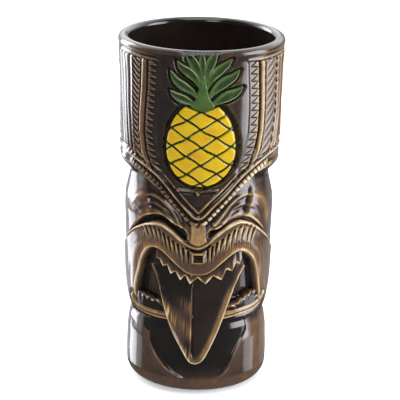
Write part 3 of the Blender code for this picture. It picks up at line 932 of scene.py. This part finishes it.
# The fruit
TILE_WIDE = 12.9
TILE_TALL = 8.3
TILE_LEVEL = 125.2
x, lower, upper = fruit_outline(110)
share = (1 - np.cos(np.linspace(0, math.pi, 100))) / 2
share = 0.5 * share + 0.5 * np.linspace(0, 1, 100)
fruit_x = np.tile(x, (100, 1))
fruit_z = spread(upper, lower, share).T
fruit_edge = from_border(fruit_x / ARC, fruit_z)
bend = 0.2 * np.sin(fruit_z * 0.45) + 0.15 * np.sin(fruit_x * 0.5 + 1)
local_x = (fruit_x - FRUIT_MIDDLE + bend) / TILE_WIDE
local_z = (fruit_z - TILE_LEVEL + 0.25 * np.sin(fruit_x * 0.7)) / TILE_TALL
gaps = [np.abs(lines - np.round(lines - 0.5) - 0.5) for lines in (local_x + local_z, local_x - local_z)]
line_gap = np.minimum(*gaps) / math.hypot(1 / TILE_WIDE, 1 / TILE_TALL)
line = rise(0.5 - line_gap, 0.24)
tile = rise(line_gap - 0.5, 1.8)
fruit_radius = 36.2 + 1.55 * rounded_edge(fruit_edge, 1.8) + 0.25 * tile - 0.3 * line
ochre = rise(line_gap - 0.9, 1.6) * rise(fruit_edge - 0.6, 1.2)
plaque("pineapple_fruit_glazed", fruit_x / ARC, fruit_z, np.minimum(fruit_radius, 38.1), 35,
       "yellow_glaze", "pineapple_fruit", line, ochre)


def leaf_mesh(path, half, lift):
    """One leaf: a hollow blade with raised edges, as grids of angle, height, radius and masks."""
    knots = smooth_path(path, pieces=12)
    step = np.hypot(np.diff(knots[:, 0]) * ARC, np.diff(knots[:, 1]))
    travel = np.concatenate([[0], np.cumsum(step)])
    even = np.linspace(0, travel[-1], 44)
    centre_u = np.interp(even, travel, knots[:, 0]) * ARC
    centre_z = np.interp(even, travel, knots[:, 1])
    along = (even / travel[-1])[:, None]
    du = np.gradient(centre_u)
    dz = np.gradient(centre_z)
    width = half * leaf_width(along)
    side_step = width / np.hypot(du, dz)[:, None]
    across = np.linspace(-1, 1, 19)[None, :]
    u = centre_u[:, None] - dz[:, None] * side_step * across
    z = centre_z[:, None] + du[:, None] * side_step * across
    edge = (1 - np.abs(across)) * width
    hollow = np.minimum(width, 2) / 2 * (1 - across ** 2) ** 1.2 * rise(along - 0.18, 0.3)
    radius = 36 + lift + 1.35 * rounded_edge(edge, 0.55) - 0.75 * hollow
    radius = np.minimum(radius, RIM_RADIUS - 0.05)
    light = ridge(edge - 0.26, 0.8, 0.22) * rise(along - 0.3, 0.3) * np.where(across < 0, 1, 0.15)
    deep = rise(0.62 - np.abs(across + 0.25), 0.5) * rise(along - 0.25, 0.3)
    # The tips that reach the lip bend over it
    over = np.maximum(z - LIP_LOW, 0) / LIP_ROUND
    from_centre = radius - LIP_MIDDLE
    radius = radius - from_centre * (1 - np.cos(over))
    z = np.where(over > 0, LIP_LOW + from_centre * np.sin(over), z)
    return u / ARC, z, radius, light, deep


leaves = []
for index, (leaf, half) in enumerate(zip(LEAVES, LEAF_HALF_WIDTH)):
    angle, level, radius, light, deep = leaf_mesh(leaf, half, 0.12 * (index % 3))
    leaves.append(plaque(f"leaf_{index}", angle, level, radius, LEAF_BACK, "green_glaze", "pineapple_leaves",
                         light, deep))

# The heart of the crown, which ends in a V over the fruit
HEART_TOP = 154
HEART_LOW = 137.2
HEART_MIDDLE = 1.6 * ARC
HEART_LEVELS = [HEART_LOW, 139.6, 141.2, 143.4, 149, HEART_TOP]
HEART_HALF_WIDTHS = [0.05, 5.8, 4.9, 3, 1.8, 1]
heart_z = np.linspace(HEART_TOP, HEART_LOW, 40)[:, None]
heart_half = np.interp(heart_z, HEART_LEVELS, HEART_HALF_WIDTHS)
across = np.linspace(-1, 1, 17)[None, :]
heart_u = HEART_MIDDLE + heart_half * across
heart_radius = 36.2 + 1.5 * rounded_edge((1 - np.abs(across)) * heart_half, 0.8)
plain = np.zeros(heart_u.shape)
leaves.append(plaque("leaf_heart", heart_u / ARC, heart_z + plain, heart_radius, LEAF_BACK, "green_glaze",
                     "pineapple_leaves", plain, plain + 0.1))
with bpy.context.temp_override(active_object=leaves[0], selected_editable_objects=leaves,
                               selected_objects=leaves):
    bpy.ops.object.join()
leaves[0].name = "pineapple_leaves_glazed"
leaves[0].data.name = "pineapple_leaves_glazed"

# -------- tongue, nose and teeth

MOUTH_BACK = 29.4
TONGUE_LEFT = [(-39.4, 63.4), (-38.1, 62.2), (-33.1, 56.9), (-29.5, 50.8), (-26.2, 44.2), (-23.1, 38),
               (-19.4, 32.2), (-16.2, 28), (-12.8, 24), (-10, 20.6), (-7.2, 17.7), (-4.4, 16),
               (-1.2, 15.4)]
TONGUE_RIGHT = [(39.4, 62), (38, 60.8), (32.4, 55.6), (27.7, 49.9), (24, 44.6), (20.4, 38),
                (17, 32.2), (12.6, 25.7), (9.2, 21), (6, 17.7), (2.6, 16), (-1.2, 15.4)]


def edge_line(points, levels):
    """Angles of a smooth edge at the given heights."""
    path = smooth_path(points, pieces=8)
    order = np.argsort(path[:, 1])
    return np.interp(levels, path[order, 1], path[order, 0])


def arch(share):
    """1 in the middle of a row and 0 at both ends."""
    return 1 - (2 * share - 1) ** 2


TONGUE_TOP = 62.4
TONGUE_TIP = 15.4
CROWN_LEVELS = [15.6, 22, 30, 45, 54, 60, 67]
CROWN_RADII = [34.6, 35.2, 36, 36.3, 35.6, 34, 33]
share = np.linspace(0, 1, 170)
tongue_z = TONGUE_TOP + (TONGUE_TIP - TONGUE_TOP) * (0.35 * np.sin(share * math.pi / 2) + 0.65 * share)
left = edge_line(TONGUE_LEFT, tongue_z)
right = edge_line(TONGUE_RIGHT, tongue_z)
across = np.linspace(0, 1, 120)
tongue_t = spread(left, right, across)
lift = np.clip((tongue_z - 50) / 11.6, 0, 1)
tongue_level = tongue_z[:, None] + 4.6 * arch(across)[None, :] * lift[:, None]
from_sides = np.minimum(tongue_t - left[:, None], right[:, None] - tongue_t) * ARC
tongue_edge = np.where(tongue_z[:, None] > 57, from_sides * 0.7, from_border(tongue_t, tongue_level, 40))
corner = rise(np.abs(tongue_t) - 24, 12)
crown_line = np.interp(tongue_level, CROWN_LEVELS, CROWN_RADII)
crown_line = crown_line + (35.4 - crown_line) * corner * (tongue_level > 52)
middle = np.interp(tongue_level, [16.6, 22, 52, 62], [-2.4, -3.4, -2.9, -1])
across_mm = (tongue_t - middle) * ARC
half_width = np.where(across_mm < 0, middle - left[:, None], right[:, None] - middle) * ARC
half_width = np.maximum(half_width, 1)
hollow = np.clip(1 - np.abs(across_mm) / half_width, 0, 1)
hollow = rise(tongue_edge - 1.3, 1.6) * (0.55 + 0.45 * hollow) * np.minimum(half_width / 9, 1)
tongue_radius = crown_line - 3.4 + 3.4 * rounded_edge(tongue_edge, 1) - 2.1 * hollow
groove_zone = rise(tongue_level - 20, 4) * rise(55 - tongue_level, 2)
tongue_radius += (ridge(across_mm, -0.75, 0.45) + ridge(across_mm + 0.75, 0.3, 0.4)) * groove_zone
left_half = rise(-across_mm - 0.3, 0.8)
streaky = 0.5 + 0.5 * np.sin(tongue_t * 3.1 + 1.7 * np.sin(tongue_t * 1.13 + tongue_level * 0.21))
streaky = streaky * (0.5 + 0.5 * np.sin(tongue_level * 0.5 + tongue_t * 0.3))
low_down = rise(50 - tongue_level, 12)
left_border = left_half * np.exp(-((tongue_edge - 2.2) / 1.3) ** 2)
right_border = rise(across_mm, 1) * np.exp(-((tongue_edge - 2) / 1.3) ** 2)
# Tan on the tongue: worn edges, streaky tan over the left half that is partly painted light, and a painted
# highlight left of the centre groove
tongue_wear_and_light = ridge(tongue_edge - 0.7, 0.62, 0.45)
tongue_wear_and_light += 0.3 * low_down * (left_half * streaky + left_border * (0.3 + streaky))
tongue_wear_and_light += 0.34 * right_border * rise(52 - tongue_level, 8) * rise(tongue_level - 18, 4)
tongue_wear_and_light += 0.3 * ridge(across_mm + 0.75, 1, 0.4) * groove_zone
# Dark on the tongue: pooled glaze, plus painted shade over the right half away from its edge; the left half
# darker at its top and foot
tongue_pool_and_shade = 0.36 * rise(across_mm + 0.2, 0.6) * rise(tongue_edge - 2.4, 2.5)
tongue_pool_and_shade += 0.1 * left_half + 0.45 * left_half * rise(tongue_level - 46, 10)
tongue_pool_and_shade += 0.35 * left_half * rise(27 - tongue_level, 6) * rise(tongue_edge - 1.4, 1.4)
plaque("tongue_glazed", tongue_t, tongue_level, tongue_radius, MOUTH_BACK, "brown_glaze", "tongue",
       np.clip(tongue_wear_and_light, 0, 1), np.clip(tongue_pool_and_shade, 0, 1))

NOSE_LEFT = [(-6.8, 84.4), (-6.5, 82), (-6.3, 79.4), (-6.8, 77.6), (-7.6, 76.2), (-6.4, 75.2)]
NOSE_RIGHT = [(6.6, 84.4), (6.4, 82), (6.4, 79.4), (6.9, 77.4), (7.4, 76), (6, 75)]
NOSE_TOP = 84.4
NOSE_FOOT = 75.1
share = np.linspace(0, 1, 60)
nose_z = NOSE_TOP + (NOSE_FOOT - NOSE_TOP) * share
left = edge_line(NOSE_LEFT, nose_z)
right = edge_line(NOSE_RIGHT, nose_z)
nose_t = spread(left, right, share)
nose_level = nose_z[:, None] - 1.9 * arch(share)[None, :] * share[:, None]
from_sides = np.minimum(nose_t - left[:, None], right[:, None] - nose_t) * ARC
nose_edge = np.where(nose_level > 80, from_sides, from_border(nose_t, nose_level))
nose_radius = np.interp(nose_level, [73, 76, 80, NOSE_TOP], [35.4, 36.3, 35.6, 34.6])
nose_radius += 2.4 * rounded_edge(nose_edge, 1.2) - 2.4
nose_radius += 0.12 * np.sin(nose_t * 1.9) * np.sin(nose_level * 2.3)
plaque("nose_glazed", nose_t, nose_level, nose_radius, 30, "brown_glaze", "nose",
       0.27 + 0.1 * rise(nose_edge - 1, 1.2), 0.35 * rise(0.9 - nose_edge, 0.8))

UPPER_TEETH = [(-34, 65.6), (-31, 65.2), (-27.6, 62.3), (-24.4, 63), (-21.1, 59.2), (-17.3, 60.4),
               (-13.2, 56.6), (-9.4, 58.9), (-5.7, 55), (0.3, 58), (6.5, 55.1), (12.6, 58.8),
               (19.1, 56.6), (23.4, 61.5), (28, 60.3), (31.6, 64.2), (34.2, 63.2), (37.5, 66)]
LOWER_LEFT = [(-56, 46.2), (-52.8, 46.4), (-50.4, 45.4), (-47.4, 46.6), (-44.6, 45.2), (-41.4, 46.2),
              (-38.6, 44.6), (-35, 45.6), (-28, 43.6)]
LOWER_RIGHT = [(28, 43.6), (35, 44.2), (38, 46.6), (41, 45.6), (43.6, 48), (46.4, 46.8),
               (49.4, 48.8), (52.4, 47.6), (56.5, 48.8)]

# The upper teeth, from a line above the lip's edge down to their points
edge = np.array(UPPER_TEETH)
top_line = smooth_path(LIP_LINE[6:17], pieces=6) + np.array([0, 1])
angle = np.linspace(edge[0, 0], edge[-1, 0], 220)
share = np.linspace(0, 1, 36)
level = spread(np.interp(angle, *top_line.T), np.interp(angle, *edge.T), share).T
at_tip = 1 - np.arange(len(edge)) % 2
point = np.interp(angle, edge[:, 0], at_tip)[None, :]
angle = np.tile(angle, (36, 1))
share = share[:, None]
gap = from_border(angle, level)
radius = 33 + 1.2 * rounded_edge(gap, 0.7) + 0.55 * point * rise(share - 0.35, 0.5) - 0.9 * (1 - share)
patchy = 0.55 + 0.45 * np.sin(angle * 0.83 + 0.5)
worn = ridge(gap - 0.5, 0.78, 0.5) * share ** 0.6 * (0.4 + 0.6 * patchy)
worn = worn + 0.3 * point * rise(share - 0.55, 0.4) * patchy
plaque("upper_teeth_glazed", angle, level, radius, MOUTH_BACK, "brown_glaze", "upper_teeth", worn,
       0.35 * (1 - share) + np.zeros(gap.shape))

# The lower teeth, on both sides of the tongue
for side, ridge_line, low in (("left", LOWER_LEFT, 40.4), ("right", LOWER_RIGHT, 40.8)):
    top_line = np.array(ridge_line)
    angle = np.linspace(top_line[0, 0], top_line[-1, 0], 110)
    high = np.interp(angle, *top_line.T)
    level = spread(high, np.full(110, low), np.linspace(0, 1, 34)).T
    angle = np.tile(angle, (34, 1))
    gap = high[None, :] - level
    radius = 32 + 1.3 * rounded_edge(gap, 0.9) + 0.25 * np.cos(angle * 1.05) * np.exp(-gap / 1.4)
    worn = ridge(gap - 0.6, 0.85, 0.5) * (0.55 + 0.45 * np.sin(angle * 1.1))
    plaque(f"lower_teeth_{side}_glazed", angle, level, radius, MOUTH_BACK, "brown_glaze",
           f"lower_teeth_{side}", worn, 0.55 * rise(gap - 0.8, 1) + 0.2)

# -------- camera, lights and floor

CAMERA_AT = Vector((0, -0.9356, 0.3739))
TILT = math.radians(17.156)
PAN = math.radians(0.038)
ROLL = math.radians(1.115)
forward = Vector((math.sin(PAN) * math.cos(TILT), math.cos(PAN) * math.cos(TILT), -math.sin(TILT)))
right_way = forward.cross(Vector((0, 0, 1))).normalized()
up_way = right_way.cross(forward)
axis_x = math.cos(ROLL) * right_way + math.sin(ROLL) * up_way
axis_y = -math.sin(ROLL) * right_way + math.cos(ROLL) * up_way
camera_data = bpy.data.cameras.new("camera")
camera_data.lens = 188
camera_data.sensor_width = 36
camera = bpy.data.objects.new("camera", camera_data)
scene.collection.objects.link(camera)
turned = Matrix((axis_x, axis_y, -forward)).transposed().to_4x4()
camera.matrix_world = Matrix.Translation(CAMERA_AT) @ turned
scene.camera = camera
scene.view_settings.view_transform = "Standard"

MIDDLE = Vector((0, 0, HEIGHT * MM / 2))
WHITE = (1, 1, 1, 1)


def panel(name, azimuth, distance, level, wide, tall, radiance, colour=(1, 1, 1)):
    """A soft box standing round the pot; azimuth in degrees from the front, positive to the right."""
    turn = math.radians(azimuth)
    place_at = Vector((distance * math.sin(turn), -distance * math.cos(turn), level))
    data = bpy.data.lights.new(name, "AREA")
    data.shape = "RECTANGLE"
    data.size = wide
    data.size_y = tall
    data.energy = radiance * math.pi * wide * tall
    data.color = colour
    light = bpy.data.objects.new(name, data)
    light.location = place_at
    aim = Vector((0, 0, place_at.z)) if level < 1 else MIDDLE
    light.rotation_euler = (aim - place_at).to_track_quat("-Z", "Y").to_euler()
    light.visible_camera = False
    scene.collection.objects.link(light)


panel("window_left", -129, 1.3, 0.415, 0.60, 1.37, 7, (0.93, 0.95, 1))
panel("window_left_low", -129, 1.3, -0.425, 0.60, 0.19, 4.4, (0.93, 0.95, 1))
panel("window_left_edge", -108, 1.3, 0.415, 0.30, 1.37, 1.2, (0.92, 0.94, 1))
panel("window_left_low_edge", -108, 1.3, -0.425, 0.30, 0.19, 1.2, (0.92, 0.94, 1))
panel("wall_left", -162, 1.3, 0.29, 0.95, 1.62, 0.7, (0.86, 0.89, 1))
panel("soft_right", 80, 1.32, 0.35, 1, 1.40, 1.9, (1, 0.95, 0.96))
panel("glow_right_low", 97, 1.25, -0.415, 0.5, 0.17, 2.1, (0.95, 0.94, 1))
panel("soft_right_core", 80, 1.28, 0.35, 0.56, 1.40, 1.6, (1, 0.95, 0.96))
panel("window_right", 78, 1.2, 0.42, 0.74, 1.36, 3.4, (0.9, 0.94, 1))
panel("wall_right", 146, 1.4, 0.25, 0.9, 1.6, 0.28, (1, 0.95, 0.92))
panel("soft_top", 0, 0.35, 1.5, 1, 1, 3)
panel("soft_front", -18, 1.9, 1.2, 0.7, 0.7, 5)

world = bpy.data.worlds.new("studio")
world.use_nodes = True
scene.world = world
sky = Nodes(world.node_tree)
sky.tree.nodes.clear()
view = sky.add("ShaderNodeTexCoord").outputs["Generated"]
split = sky.add("ShaderNodeSeparateXYZ", {0: view})
glow = []
for axis, low, high in (("Y", -0.2, 0.6), ("Z", 0.02, 0.4)):
    step = sky.add("ShaderNodeMapRange", {"From Min": low, "From Max": high, "Value": split.outputs[axis]},
                   interpolation_type="SMOOTHSTEP")
    glow.append(step.outputs["Result"])
strength = sky.scaled(sky.math("MULTIPLY", *glow), 1.9, 0.12)
ray = sky.add("ShaderNodeLightPath").outputs["Is Camera Ray"]
choose = sky.add("ShaderNodeMix", {"Factor": ray, 2: strength, 3: 1}, data_type="FLOAT")
background = sky.add("ShaderNodeBackground", {"Color": WHITE, "Strength": choose.outputs[0]})
sky.add("ShaderNodeOutputWorld", {"Surface": background.outputs[0]})

REACH = 3
floor_mesh = bpy.data.meshes.new("floor")
corners = [(-REACH, -REACH, 0), (REACH, -REACH, 0), (REACH, REACH, 0), (-REACH, REACH, 0)]
floor_mesh.from_pydata(corners, [], [(0, 1, 2, 3)])
floor = bpy.data.objects.new("floor", floor_mesh)
scene.collection.objects.link(floor)
pale = Material("pale_floor")
pale.shade({"Base Color": (0.93, 0.93, 0.93, 1), "Roughness": 0.8, "Emission Color": WHITE,
            "Emission Strength": 0.4})
floor_mesh.materials.append(pale.material)
floor.visible_glossy = False
